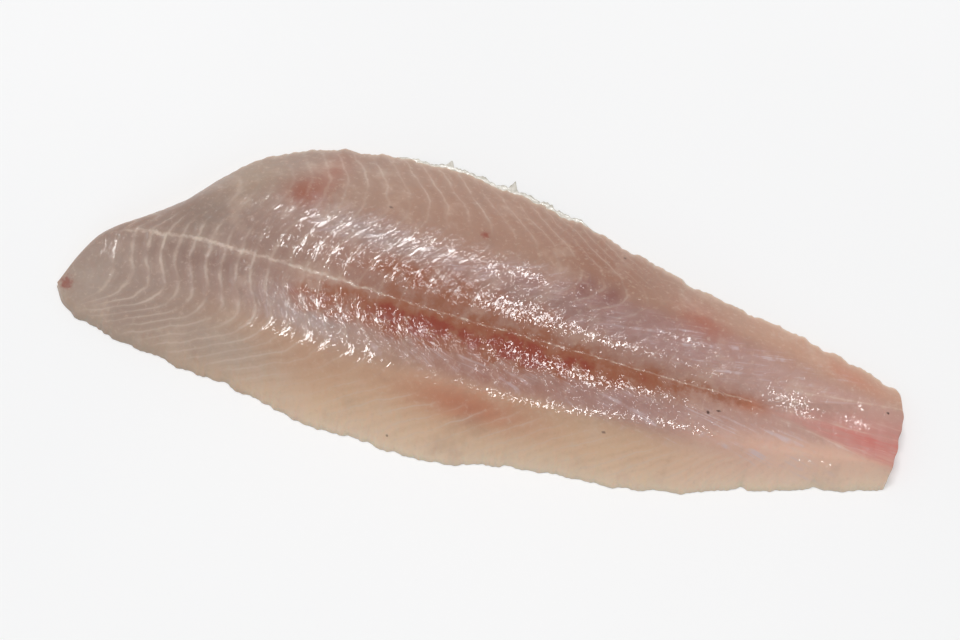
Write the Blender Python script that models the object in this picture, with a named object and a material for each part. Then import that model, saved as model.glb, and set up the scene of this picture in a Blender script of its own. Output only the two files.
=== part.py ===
"""A skinless raw fish fillet, lying flat on its bone side, as one solid.

The fillet is a loft. Its rings are sections across the fish, bent into the W shape in which the
muscle bands of a fish meet its side, so that each groove between two bands is an edge of the mesh.
Everything is in metres, +Z up. While it is modelled, X is the distance from the head tip towards
the tail; at the end the solid is moved so that the origin lies under the middle of its footprint.
"""

import bmesh
import bpy
import numpy as np

# Driving sizes
LENGTH = 0.270
THICKEST = 0.019
NAPE_CUT = 0.0028
THIN_EDGE = 0.0016
EDGE_LIFT = 0.0005
SEAM_VALLEY_DEPTH = 0.0005
SEAM_VALLEY_REACH = 0.0028
TAIL_HOLLOW_DEPTH = 0.0008

# The outline seen from above: distance from the head tip, and height above the middle line
BACK_EDGE = [
    (0.000, -0.0280), (0.003, -0.0168), (0.008, -0.0067), (0.018, 0.0011), (0.028, 0.0097),
    (0.037, 0.0214), (0.047, 0.0323), (0.060, 0.0403), (0.080, 0.0460), (0.105, 0.0483),
    (0.130, 0.0462), (0.153, 0.0423), (0.175, 0.0368), (0.205, 0.0290), (0.235, 0.0238),
    (0.258, 0.0180), (0.270, 0.0147),
]
BELLY_EDGE = [
    (0.000, -0.0280), (0.004, -0.0329), (0.012, -0.0367), (0.028, -0.0397), (0.050, -0.0425),
    (0.072, -0.0448), (0.090, -0.0475), (0.112, -0.0479), (0.130, -0.0483), (0.145, -0.0460),
    (0.165, -0.0425), (0.185, -0.0407), (0.203, -0.0380), (0.220, -0.0323), (0.240, -0.0261),
    (0.270, -0.0172),
]
SEAM = [
    (0.000, -0.0280), (0.004, -0.0190), (0.008, -0.0125), (0.014, -0.0075), (0.022, -0.0050),
    (0.040, -0.0046), (0.070, -0.0054), (0.130, -0.0078), (0.200, -0.0066), (0.270, -0.0032),
]

# Thickness at the seam, as a share of the greatest one
THICKNESS = [
    (0.000, 0.14), (0.006, 0.28), (0.020, 0.47), (0.045, 0.76), (0.075, 0.94), (0.110, 1.00),
    (0.150, 0.97), (0.185, 0.84), (0.220, 0.65), (0.250, 0.50), (0.270, 0.43),
]
# Height of the cross-section, from the seam at 0 to the edge at 1: a plateau, a shoulder, a slope.
# The head end is evenly rounded instead.
SECTION = [
    (0.00, 0.95), (0.15, 0.98), (0.30, 1.00), (0.45, 0.98), (0.58, 0.90), (0.72, 0.67),
    (0.86, 0.36), (0.95, 0.15), (1.00, 0.00),
]
ROUND_SECTION_POWER = 2.2
ROUND_HEAD_ENDS = 0.060
# How thick the edge stands along the back: a knife cut at the nape, thin behind it
BACK_RIM = [
    (0.000, THIN_EDGE), (0.020, 0.8 * NAPE_CUT), (0.045, NAPE_CUT), (0.080, 1.3 * THIN_EDGE),
    (0.200, THIN_EDGE), (0.270, 1.6 * THIN_EDGE),
]

# Muscle bands: their spacing along the seam, and how far each arm of the W sweeps
BAND_SPACING = [
    (0.000, 0.0050), (0.060, 0.0053), (0.090, 0.0063), (0.130, 0.0072), (0.180, 0.0068),
    (0.220, 0.0055), (0.270, 0.0045),
]
BACK_INNER_SWEEP = [(0.00, 0.006), (0.05, 0.008), (0.09, 0.013), (0.17, 0.018), (0.27, 0.024)]
BACK_OUTER_SWEEP = [(0.00, 0.008), (0.06, 0.011), (0.10, 0.018), (0.14, 0.024), (0.27, 0.016)]
BELLY_INNER_SWEEP = [(0.00, 0.005), (0.06, 0.007), (0.11, 0.011), (0.17, 0.016), (0.27, 0.022)]
BELLY_OUTER_SWEEP = [(0.00, 0.012), (0.05, 0.018), (0.11, 0.031), (0.18, 0.027), (0.27, 0.012)]
# Shares of those sweeps, from the seam at 0 to the edge at 1
INNER_ARM = [(0.00, 0.00), (0.14, 0.08), (0.28, 0.38), (0.40, 0.82), (0.52, 1.00), (1.00, 1.00)]
OUTER_ARM = [(0.00, 0.00), (0.50, 0.00), (0.64, 0.10), (0.80, 0.45), (1.00, 1.00)]
HEAD_STRAIGHTENS = 0.030
TAIL_STRAIGHTENS = 0.085
# Each band bulges a little: how high, how square the bulge is, and its mean height as a share
BAND_RELIEF = 0.0005
BULGE_POWER = 0.6
BULGE_MEAN = 0.6
RELIEF_FULL = 0.020

# The tail end is cut a little bowed: how far its corners stand back, on the back and the belly.
# The red muscle lies there in a hollow that widens and deepens.
BACK_TAIL_BOW = 0.0030
BELLY_TAIL_BOW = 0.0004
TAIL_HOLLOW_START = 0.222
TAIL_HOLLOW_FULL_DEPTH = 0.242
TAIL_HOLLOW_HALF_WIDTH = 0.0095
TAIL_HOLLOW_FIRST_WIDTH = 0.0014
SEAM_VALLEY_ENDS = (0.045, 0.075, 0.215, 0.240)

# The edge is slightly lumpy: wavelength, height and shift of each ripple. On the belly a flap of
# loose flesh stands out. Both belong to the edge, and fade inwards by a power of the distance.
EDGE_RIPPLES = [(0.0233, 0.00028, 0.7), (0.0117, 0.00022, 2.1), (0.0071, 0.00014, 4.4)]
RIPPLES_START = 0.012
BELLY_FLAP = (0.077, 0.088, 0.136, 0.148)
BELLY_FLAP_HEIGHT = 0.0011
EDGE_FADE_POWER = 6

# The mesh
RINGS_PER_BAND = 3
FIRST_RING = 0.001
TOP_ROWS = [0.00, 0.06, 0.14, 0.24, 0.34, 0.44, 0.54, 0.64, 0.74, 0.83, 0.91, 0.97, 1.00]
UNDERSIDE_ROWS = [0.96, 0.50, 0.00]
TIP_HEIGHT = 0.0012

FLESH_COLOUR = (0.42, 0.27, 0.21, 1.0)
FLESH_ROUGHNESS = 0.32


def smooth_curve(stations, x):
    """The value at x of a smooth curve through the stations that never overshoots them."""
    places, values = np.array(stations, float).T
    steps = np.diff(places)
    slopes = np.diff(values) / steps
    before, after = slopes[:-1], slopes[1:]
    same_way = before * after > 0
    total = np.where(same_way, before + after, 1.0)
    inner = np.where(same_way, 2 * before * after / total, 0.0)
    tangents = np.concatenate([slopes[:1], inner, slopes[-1:]])
    i = np.clip(np.searchsorted(places, x) - 1, 0, len(steps) - 1)
    t = np.clip((x - places[i]) / steps[i], 0.0, 1.0)
    start = (1 + 2 * t) * (1 - t) ** 2 * values[i] + t * (1 - t) ** 2 * steps[i] * tangents[i]
    end = t * t * (3 - 2 * t) * values[i + 1] - t * t * (1 - t) * steps[i] * tangents[i + 1]
    return start + end


def ramp(x, start, end):
    """0 before start, 1 after end, and smooth between."""
    t = np.clip((x - start) / (end - start), 0.0, 1.0)
    return t * t * (3 - 2 * t)


def edge_detail(x, side):
    """How far the lumpy edge stands out from the smooth outline at x. The two sides differ."""
    waves = sum(
        height * np.sin(2 * np.pi * x / length + shift * (2 + side))
        for length, height, shift in EDGE_RIPPLES
    )
    detail = waves * ramp(x, 0.0, RIPPLES_START)
    if side < 0:
        rise, full, fall, end = BELLY_FLAP
        detail = detail + BELLY_FLAP_HEIGHT * ramp(x, rise, full) * (1 - ramp(x, fall, end))
    return detail


def half_width(x, side):
    """Distance from the seam to the smooth outline, on the back (side 1) or the belly (-1)."""
    edge = smooth_curve(BACK_EDGE if side > 0 else BELLY_EDGE, x)
    return side * (edge - smooth_curve(SEAM, x))


def place_across(x, across, side):
    """Y of a point that lies this share of the way from the seam to the edge."""
    out = across * half_width(x, side) + across**EDGE_FADE_POWER * edge_detail(x, side)
    return smooth_curve(SEAM, x) + side * out


def band_sweep(along, across, side):
    """How far towards the tail a band groove has moved at this share of the half width."""
    inner, outer = (
        (BACK_INNER_SWEEP, BACK_OUTER_SWEEP) if side > 0 else (BELLY_INNER_SWEEP, BELLY_OUTER_SWEEP)
    )
    swept = smooth_curve(inner, along) * smooth_curve(INNER_ARM, across)
    swept = swept - smooth_curve(outer, along) * smooth_curve(OUTER_ARM, across)
    tail = 1 - ramp(along, LENGTH - TAIL_STRAIGHTENS, LENGTH)
    return swept * ramp(along, 0.0, HEAD_STRAIGHTENS) * tail


def tail_bow(along, across, side):
    """The cut tail end stands back at its corners."""
    bow = BACK_TAIL_BOW if side > 0 else BELLY_TAIL_BOW
    return bow * across**2 * ramp(along, LENGTH - TAIL_STRAIGHTENS, LENGTH)


def band_bulge(phase):
    """1 over a muscle band and 0 in the groove between two."""
    return np.sin(np.pi * (phase % 1.0)) ** BULGE_POWER


def seam_valley(x, distance):
    """Depth of the valley along the seam, which starts behind the head and ends before the tail."""
    rise, full, fall, end = SEAM_VALLEY_ENDS
    reach = ramp(x, rise, full) * (1 - ramp(x, fall, end))
    return SEAM_VALLEY_DEPTH * reach * np.exp(-((distance / SEAM_VALLEY_REACH) ** 2))


def tail_hollow(x, distance):
    """Depth of the hollow round the red muscle at the tail."""
    widening = (TAIL_HOLLOW_HALF_WIDTH - TAIL_HOLLOW_FIRST_WIDTH) * ramp(x, TAIL_HOLLOW_START, LENGTH)
    width = TAIL_HOLLOW_FIRST_WIDTH + widening
    shape = np.clip(1 - (distance / width) ** 2, 0.0, 1.0)
    return TAIL_HOLLOW_DEPTH * ramp(x, TAIL_HOLLOW_START, TAIL_HOLLOW_FULL_DEPTH) * shape


def section_height(x, across):
    """Share of the crown's height: round at the head, with a plateau and shoulders behind it."""
    round_share = 1 - ramp(x, 0.0, ROUND_HEAD_ENDS)
    round_height = np.sqrt(1 - across**ROUND_SECTION_POWER)
    return round_share * round_height + (1 - round_share) * smooth_curve(SECTION, across)


def rim_height(x, side):
    """Thickness of the fillet at its very edge."""
    return smooth_curve(BACK_RIM, x) if side > 0 else np.full_like(x, THIN_EDGE)


def top_height(x, across, side, phase):
    """Height of the upper surface above the table."""
    rim = rim_height(x, side)
    crown = THICKEST * smooth_curve(THICKNESS, x)
    distance = across * half_width(x, side)
    height = rim + (crown - rim) * section_height(x, across)
    bands = BAND_RELIEF * (band_bulge(phase) - BULGE_MEAN) * (1 - across**2) * ramp(x, 0.0, RELIEF_FULL)
    return height + bands - seam_valley(x, distance) - tail_hollow(x, distance)


def ring_places():
    """Where each ring crosses the seam, from head to tail, and its place in the cycle of bands."""
    places = [FIRST_RING]
    while places[-1] < LENGTH:
        places.append(places[-1] + smooth_curve(BAND_SPACING, places[-1]) / RINGS_PER_BAND)
    places = np.array(places)
    places = FIRST_RING + (places - FIRST_RING) * (LENGTH - FIRST_RING) / (places[-1] - FIRST_RING)
    return places, np.arange(len(places)) / RINGS_PER_BAND


def half_ring(along, phase, rows, side, height=None):
    """Points of one ring on one side of the seam: on the upper surface, or at a given height."""
    across = np.array(rows)
    x = along + band_sweep(along, across, side) - tail_bow(along, across, side)
    y = place_across(x, across, side)
    z = top_height(x, across, side, phase) if height is None else np.array(height)
    return [tuple(map(float, point)) for point in zip(x, y, z)]


def ring(along, phase):
    """One closed section: over the top from the belly to the back, then home underneath."""
    under = [EDGE_LIFT] + [0.0] * len(UNDERSIDE_ROWS)
    rows_under = [1.00] + UNDERSIDE_ROWS
    belly_top = half_ring(along, phase, TOP_ROWS, -1)[:0:-1]
    back_top = half_ring(along, phase, TOP_ROWS, 1)
    back_under = half_ring(along, phase, rows_under, 1, under)
    belly_under = half_ring(along, phase, rows_under, -1, under)[-2::-1]
    return belly_top + back_top + back_under + belly_under


def fan(bm, points, centre, facing_tail):
    """Closes one end of the loft with triangles round a centre point."""
    hub = bm.verts.new(centre)
    for here, there in zip(points, points[1:] + points[:1]):
        bm.faces.new((hub, there, here) if facing_tail else (hub, here, there))


def loft(bm, rings):
    """Joins the rings with quads."""
    rows = [[bm.verts.new(point) for point in points] for points in rings]
    for here, there in zip(rows, rows[1:]):
        for i in range(len(here)):
            j = (i + 1) % len(here)
            bm.faces.new((here[i], there[i], there[j], here[j]))
    return rows[0], rows[-1]


def flesh_material():
    """Pale pink raw fish, wet and faintly see-through."""
    material = bpy.data.materials.new("raw_fish_flesh")
    material.use_nodes = True
    shader = material.node_tree.nodes["Principled BSDF"]
    shader.inputs["Base Color"].default_value = FLESH_COLOUR
    shader.inputs["Roughness"].default_value = FLESH_ROUGHNESS
    shader.inputs["Metallic"].default_value = 0.0
    material.diffuse_color = FLESH_COLOUR
    return material


def make_fillet():
    """The whole fillet as one named object."""
    rings = [ring(along, phase) for along, phase in zip(*ring_places())]
    bm = bmesh.new()
    head, tail = loft(bm, rings)
    fan(bm, head, (0.0, BACK_EDGE[0][1], TIP_HEIGHT), facing_tail=False)
    middle = np.mean([vertex.co for vertex in tail], axis=0)
    fan(bm, tail, middle, facing_tail=True)
    bmesh.ops.recalc_face_normals(bm, faces=bm.faces)
    mesh = bpy.data.meshes.new("fillet")
    bm.to_mesh(mesh)
    bm.free()
    centre_footprint(mesh)
    mesh.materials.append(flesh_material())
    mesh.shade_smooth()
    fillet = bpy.data.objects.new("fillet", mesh)
    bpy.context.scene.collection.objects.link(fillet)
    return fillet


def centre_footprint(mesh):
    """Moves the mesh so that the origin is under the middle of its footprint."""
    points = np.array([vertex.co for vertex in mesh.vertices])
    middle = (points.min(axis=0) + points.max(axis=0)) / 2
    for vertex in mesh.vertices:
        vertex.co.x -= middle[0]
        vertex.co.y -= middle[1]


for old in list(bpy.data.objects):
    bpy.data.objects.remove(old)
make_fillet()
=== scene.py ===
"""The looks of a skinless raw fish fillet: wet, faintly see-through flesh on a pale floor.

The fillet is one fine mesh in place of the faceted solid. Both have the same outline, seam,
thickness along the seam and cross-section. The muscle bands, which are coarse in the solid, reach
further round here. Lengths are in metres, in the fillet's own coordinates: x is the distance from
the head tip towards the tail cut, and y is measured from the middle line, positive towards the
back. `across` is the share of the way from the seam to the edge, and `side` is 1 on the back and
-1 on the belly.
"""

import math

import bmesh
import bpy
import numpy as np
from mathutils import Matrix, Vector, noise


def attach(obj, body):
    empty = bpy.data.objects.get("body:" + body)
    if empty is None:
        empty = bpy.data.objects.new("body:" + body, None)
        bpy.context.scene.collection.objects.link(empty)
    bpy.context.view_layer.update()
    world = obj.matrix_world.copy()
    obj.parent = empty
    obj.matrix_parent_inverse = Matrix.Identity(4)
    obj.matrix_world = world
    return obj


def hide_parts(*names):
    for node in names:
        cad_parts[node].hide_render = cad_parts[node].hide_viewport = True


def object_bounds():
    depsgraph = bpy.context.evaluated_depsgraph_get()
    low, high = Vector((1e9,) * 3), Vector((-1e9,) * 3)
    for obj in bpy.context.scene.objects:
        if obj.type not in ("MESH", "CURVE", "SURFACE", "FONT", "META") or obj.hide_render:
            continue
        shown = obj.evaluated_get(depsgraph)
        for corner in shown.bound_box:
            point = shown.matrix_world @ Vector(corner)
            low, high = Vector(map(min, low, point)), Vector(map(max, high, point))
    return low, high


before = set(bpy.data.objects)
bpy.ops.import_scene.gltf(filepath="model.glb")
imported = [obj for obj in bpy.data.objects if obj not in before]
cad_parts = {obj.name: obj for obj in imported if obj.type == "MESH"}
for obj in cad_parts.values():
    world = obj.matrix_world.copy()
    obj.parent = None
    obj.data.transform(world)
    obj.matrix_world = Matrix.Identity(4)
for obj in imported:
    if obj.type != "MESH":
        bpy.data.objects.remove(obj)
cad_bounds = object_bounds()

# Form of the fillet
LENGTH = 0.270
THICKEST = 0.019
NAPE_CUT = 0.0028
THIN_EDGE = 0.0016
EDGE_LIFT = 0.00010
SEAM_VALLEY_DEPTH = 0.0005
SEAM_VALLEY_REACH = 0.0028
SEAM_VALLEY_ENDS = (0.045, 0.075, 0.215, 0.240)
BACK_EDGE = [
    (0.000, -0.0280), (0.003, -0.0168), (0.008, -0.0067), (0.018, 0.0011), (0.028, 0.0097),
    (0.037, 0.0214), (0.047, 0.0323), (0.060, 0.0403), (0.080, 0.0460), (0.105, 0.0483),
    (0.130, 0.0462), (0.153, 0.0423), (0.175, 0.0368), (0.205, 0.0290), (0.235, 0.0238),
    (0.258, 0.0180), (0.270, 0.0147),
]
BELLY_EDGE = [
    (0.000, -0.0280), (0.004, -0.0329), (0.012, -0.0367), (0.028, -0.0397), (0.050, -0.0425),
    (0.072, -0.0448), (0.090, -0.0475), (0.112, -0.0479), (0.130, -0.0483), (0.145, -0.0460),
    (0.165, -0.0425), (0.185, -0.0407), (0.203, -0.0380), (0.220, -0.0323), (0.240, -0.0261),
    (0.270, -0.0172),
]
SEAM = [
    (0.000, -0.0280), (0.004, -0.0190), (0.008, -0.0125), (0.014, -0.0075), (0.022, -0.0050),
    (0.040, -0.0046), (0.070, -0.0054), (0.130, -0.0078), (0.200, -0.0066), (0.270, -0.0032),
]
THICKNESS = [
    (0.000, 0.14), (0.006, 0.28), (0.020, 0.47), (0.045, 0.76), (0.075, 0.94), (0.110, 1.00),
    (0.150, 0.97), (0.185, 0.84), (0.220, 0.65), (0.250, 0.50), (0.270, 0.43),
]
SECTION = [
    (0.00, 0.95), (0.15, 0.98), (0.30, 1.00), (0.45, 0.98), (0.58, 0.90), (0.72, 0.67),
    (0.86, 0.36), (0.95, 0.15), (1.00, 0.00),
]
ROUND_SECTION_POWER = 2.2
ROUND_HEAD_ENDS = 0.060
BACK_RIM = [
    (0.000, THIN_EDGE), (0.020, 0.8 * NAPE_CUT), (0.045, NAPE_CUT), (0.080, 1.3 * THIN_EDGE),
    (0.200, THIN_EDGE), (0.270, 1.6 * THIN_EDGE),
]
BAND_SPACING = [
    (0.000, 0.0050), (0.060, 0.0053), (0.090, 0.0063), (0.130, 0.0072), (0.180, 0.0068),
    (0.220, 0.0055), (0.270, 0.0045),
]
BACK_INNER_SWEEP = [(0.00, 0.006), (0.05, 0.008), (0.09, 0.013), (0.17, 0.018), (0.27, 0.024)]
BACK_OUTER_SWEEP = [
    (0.00, 0.008), (0.06, 0.011), (0.10, 0.018), (0.14, 0.026), (0.18, 0.032), (0.27, 0.016),
]
BELLY_INNER_SWEEP = [(0.00, 0.005), (0.06, 0.007), (0.11, 0.011), (0.17, 0.016), (0.27, 0.022)]
BELLY_OUTER_SWEEP = [(0.00, 0.020), (0.05, 0.033), (0.11, 0.036), (0.18, 0.030), (0.27, 0.012)]
INNER_ARM = [(0.00, 0.00), (0.14, 0.08), (0.28, 0.38), (0.40, 0.82), (0.52, 1.00), (1.00, 1.00)]
OUTER_ARM = [(0.00, 0.00), (0.48, 0.00), (0.64, 0.12), (0.80, 0.50), (1.00, 1.00)]
HEAD_STRAIGHTENS = 0.030
TAIL_STRAIGHTENS = 0.085
BACK_TAIL_BOW = 0.0030
BELLY_TAIL_BOW = 0.0004
TAIL_HOLLOW_START = 0.222
TAIL_HOLLOW_HALF_WIDTH = 0.0095
TAIL_HOLLOW_DEPTH = 0.0008
EDGE_RIPPLES = [(0.0233, 0.00028, 0.7), (0.0117, 0.00022, 2.1), (0.0071, 0.00014, 4.4)]
RIPPLES_START = 0.012
BELLY_FLAP = (0.077, 0.088, 0.136, 0.148)
BELLY_FLAP_HEIGHT = 0.0011
EDGE_FADE_POWER = 6

# The fine mesh
COLUMN_STEP = 0.0005
TIP_STEP = 0.00006
TIP_STEP_GROWTH = 0.045
TOP_ROWS = 73
RIM_ROWS = 3
RIM_SPREAD = 0.46
UNDERSIDE_ROWS = [0.97, 0.85, 0.60, 0.30]
CUT_ROUNDING = 0.0007
CUT_LOOPS = 7
CUT_DIMPLES = 0.00012
CUT_ROUGHNESS = [(0.0036, 0.00060)]
FRAY = [(0.0035, 0.00045), (0.0014, 0.00050)]

# Relief on the flesh. Lumps, frays and wanders are lists of a size and a height.
LUMPS = [(0.0120, 0.00022), (0.0045, 0.00009), (0.0018, 0.00003)]
BAND_RELIEF_CROWN = 0.00034
BAND_RELIEF_SLOPE = 0.00010
BULGE_POWER = 0.75
BULGE_MEAN = 0.6
BAND_WANDER = [(0.014, 0.16), (0.005, 0.13)]
STRAND_RELIEF = 0.00006
BELLY_RIDGE = [
    (0.000, -0.0240), (0.110, -0.0310), (0.150, -0.0290), (0.200, -0.0235), (0.270, -0.0150),
]
BELLY_RIDGE_ENDS = (0.110, 0.130, 0.210, 0.230)
BELLY_RIDGE_HEIGHT = 0.00035
BELLY_RIDGE_REACH = 0.0021
STRAND_SWEEP = 2.4
STRAND_WANDER = [(0.012, 0.004)]

# Spots and patches are placed where they show, from the photograph's view, on a plane at this
# height. A point above it shows this far towards the head and towards the back, per metre.
SEEN_PLANE = 0.010
SEEN_LEAN = (0.117, 0.387)

# Camera: the photograph's viewing angle, worked out from the fillet's proportions
CAMERA_AZIMUTH = 16.9
CAMERA_ELEVATION = 68.0
CAMERA_DISTANCE = 0.5147
CAMERA_LENS = 60.0
CAMERA_AIM = (0.1342, 0.0002)

# Lights: distance, size and radiance
LAMP = (4.0, (2.30, 0.44), 27.0)
HALO = (4.1, (2.6, 1.0), 1.5)
FILL = (1.6, (1.2, 0.8), 0.7)
FILL_ELEVATION = 30.0
EVEN_LIGHT = 0.41


def smooth_curve(stations, x):
    """The value at x of a smooth curve through the stations that never overshoots them."""
    places, values = np.array(stations, float).T
    steps = np.diff(places)
    slopes = np.diff(values) / steps
    before, after = slopes[:-1], slopes[1:]
    same_way = before * after > 0
    total = np.where(same_way, before + after, 1.0)
    inner = np.where(same_way, 2 * before * after / total, 0.0)
    tangents = np.concatenate([slopes[:1], inner, slopes[-1:]])
    i = np.clip(np.searchsorted(places, x) - 1, 0, len(steps) - 1)
    t = np.clip((x - places[i]) / steps[i], 0.0, 1.0)
    start = (1 + 2 * t) * (1 - t) ** 2 * values[i] + t * (1 - t) ** 2 * steps[i] * tangents[i]
    end = t * t * (3 - 2 * t) * values[i + 1] - t * t * (1 - t) * steps[i] * tangents[i + 1]
    return start + end


def ramp(x, start, end):
    """0 before start, 1 after end, and smooth between."""
    t = np.clip((x - start) / (end - start), 0.0, 1.0)
    return t * t * (3 - 2 * t)


def window(x, rise, full, fall, end):
    """0 outside rise to end, 1 from full to fall, and smooth between."""
    return ramp(x, rise, full) * (1 - ramp(x, fall, end))


def by_side(side, back, belly):
    """Picks the back's value where side is 1 and the belly's where it is -1."""
    return np.where(side > 0, back, belly)


def noise_at(x, y, size, seed):
    """Smooth noise from about -1 to 1, with features of this size."""
    pairs = zip((x / size).ravel(), (y / size).ravel())
    return np.array([noise.noise((a, b, seed)) for a, b in pairs]).reshape(x.shape)


def layered_noise(x, y, layers, seed):
    """Noise summed over layers of (size, height)."""
    parts = [high * noise_at(x, y, size, seed + 3.7 * i) for i, (size, high) in enumerate(layers)]
    return np.sum(parts, axis=0)


def colour(red, green, blue):
    """A colour given by its sRGB numbers, 0 to 255, as Blender's linear one."""
    parts = [value / 255 for value in (red, green, blue)]
    linear = [p / 12.92 if p <= 0.04045 else ((p + 0.055) / 1.055) ** 2.4 for p in parts]
    return (*linear, 1.0)


def edge_detail(x, side):
    """How far the lumpy edge and the belly's loose flap stand out from the smooth outline."""
    waves = sum(
        height * np.sin(2 * np.pi * x / length + shift * (2 + side))
        for length, height, shift in EDGE_RIPPLES
    )
    flap = BELLY_FLAP_HEIGHT * window(x, *BELLY_FLAP)
    return waves * ramp(x, 0.0, RIPPLES_START) + by_side(side, 0.0, flap)


def half_width(x, side):
    """Distance from the seam to the smooth outline, on the back (side 1) or the belly (-1)."""
    edge = by_side(side, smooth_curve(BACK_EDGE, x), smooth_curve(BELLY_EDGE, x))
    return side * (edge - smooth_curve(SEAM, x))


def place_across(x, across, side, fray=0.0):
    """The y of a point this share of the way from seam to edge."""
    out = across * half_width(x, side)
    out = out + across**EDGE_FADE_POWER * (edge_detail(x, side) + fray)
    return smooth_curve(SEAM, x) + side * out


def band_sweep(along, across, side):
    """How far towards the tail a band groove has moved at this share of the half width."""
    back = smooth_curve(BACK_INNER_SWEEP, along), smooth_curve(BACK_OUTER_SWEEP, along)
    belly = smooth_curve(BELLY_INNER_SWEEP, along), smooth_curve(BELLY_OUTER_SWEEP, along)
    inner, outer = by_side(side, back[0], belly[0]), by_side(side, back[1], belly[1])
    swept = inner * smooth_curve(INNER_ARM, across) - outer * smooth_curve(OUTER_ARM, across)
    tail = 1 - ramp(along, LENGTH - TAIL_STRAIGHTENS, LENGTH)
    return swept * ramp(along, 0.0, HEAD_STRAIGHTENS) * tail


def band_count(along):
    """Number of muscle bands between the head tip and this place on the seam."""
    places = np.linspace(0.0, LENGTH, 600)
    per_metre = 1 / smooth_curve(BAND_SPACING, places)
    counts = np.concatenate([[0.0], np.cumsum((per_metre[1:] + per_metre[:-1]) / 2)])
    return np.interp(along, places, counts * (places[1] - places[0]))


def band_phase(x, across, side):
    """Place in the cycle of bands. It is a whole number in each groove between two bands."""
    along = x
    for _ in range(12):
        along = x - band_sweep(along, across, side)
    return band_count(along)


def section_height(x, across):
    """Share of the crown's height: round at the head, with a plateau and shoulders behind it."""
    round_share = 1 - ramp(x, 0.0, ROUND_HEAD_ENDS)
    round_height = np.sqrt(np.clip(1 - across**ROUND_SECTION_POWER, 0.0, 1.0))
    return round_share * round_height + (1 - round_share) * smooth_curve(SECTION, across)


def seam_valley(x, distance):
    """Depth of the valley along the seam."""
    reach = window(x, *SEAM_VALLEY_ENDS)
    return SEAM_VALLEY_DEPTH * reach * np.exp(-((distance / SEAM_VALLEY_REACH) ** 2))


def hollow_width(x):
    """Half the width of the hollow round the red muscle at the tail."""
    return TAIL_HOLLOW_HALF_WIDTH * (0.15 + 0.85 * ramp(x, TAIL_HOLLOW_START, LENGTH))


def tail_hollow(x, distance):
    """Depth of the hollow round the red muscle at the tail."""
    shape = np.clip(1 - (distance / hollow_width(x)) ** 2, 0.0, 1.0)
    return TAIL_HOLLOW_DEPTH * ramp(x, TAIL_HOLLOW_START, TAIL_HOLLOW_START + 0.02) * shape


def rim_height(x, side):
    """Thickness of the fillet at its very edge."""
    return by_side(side, smooth_curve(BACK_RIM, x), THIN_EDGE)


def column_places():
    """Distances from the head tip of the mesh's columns, closer together at the tip."""
    places = [TIP_STEP]
    while places[-1] < LENGTH - CUT_ROUNDING:
        step = min(COLUMN_STEP, TIP_STEP + TIP_STEP_GROWTH * places[-1])
        places.append(places[-1] + step)
    places = np.array(places)
    end = LENGTH - CUT_ROUNDING
    return TIP_STEP + (places - TIP_STEP) * (end - TIP_STEP) / (places[-1] - TIP_STEP)


class Surface:
    """Every point of the fillet's skin as a grid of columns (along) by ring points (round)."""

    def __init__(self):
        columns = column_places()
        top = np.linspace(0.0, 1.0, TOP_ROWS)
        across = np.concatenate([top[:0:-1], top])
        side = np.concatenate([-np.ones(TOP_ROWS - 1), np.ones(TOP_ROWS)])
        self.top_count = len(across)
        self.x = np.repeat(columns[:, None], len(across), axis=1)
        self.across = np.repeat(across[None, :], len(columns), axis=0)
        self.side = np.repeat(side[None, :], len(columns), axis=0)
        fray = layered_noise(self.x, self.side * 0.1, FRAY, seed=11.3) * ramp(self.x, 0.0, 0.012)
        self.y = place_across(self.x, self.across, self.side, fray)
        self.distance = self.across * half_width(self.x, self.side)
        wander = layered_noise(self.x, self.y, BAND_WANDER, seed=4.1)
        self.phase = band_phase(self.x, self.across, self.side) + wander
        self.strand = self.strands()
        self.z = self.top_height()
        self.seen_x = self.x - SEEN_LEAN[0] * (self.z - SEEN_PLANE)
        self.seen_y = self.y + SEEN_LEAN[1] * (self.z - SEEN_PLANE)

    def strands(self):
        """Numbers the long strands of silvery tissue: each follows one value of this."""
        sweep = band_sweep(self.x, np.minimum(self.across, 0.5), self.side)
        wander = layered_noise(self.x, self.y, STRAND_WANDER, seed=8.8)
        return self.x - STRAND_SWEEP * sweep + wander

    def top_height(self):
        """Height of the upper surface above the table."""
        x, across, side = self.x, self.across, self.side
        rim = rim_height(x, side)
        crown = THICKEST * smooth_curve(THICKNESS, x)
        height = rim + (crown - rim) * section_height(x, across)
        height = height - seam_valley(x, self.distance) - tail_hollow(x, self.distance)
        inland = (1 - across**4) * ramp(x, 0.0, 0.020)
        crown_share = 1 - ramp(across, 0.45, 0.75)
        crown_share = crown_share * (1 - ramp(x, 0.170, 0.205))
        relief = BAND_RELIEF_SLOPE + (BAND_RELIEF_CROWN - BAND_RELIEF_SLOPE) * crown_share
        bulge = np.abs(np.sin(np.pi * self.phase)) ** BULGE_POWER
        height = height + relief * (bulge - BULGE_MEAN) * inland
        height = height + layered_noise(x, self.y, LUMPS, seed=1.9) * inland
        off_ridge = (self.y - smooth_curve(BELLY_RIDGE, x)) / BELLY_RIDGE_REACH
        height = height + BELLY_RIDGE_HEIGHT * window(x, *BELLY_RIDGE_ENDS) * np.exp(-off_ridge**2)
        strands = noise_at(self.strand, self.y * 0.15, 0.0020, 6.2) * (1 - ramp(x, 0.150, 0.190))
        return height + STRAND_RELIEF * strands * silver_and_sheen_share(self) * inland


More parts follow.
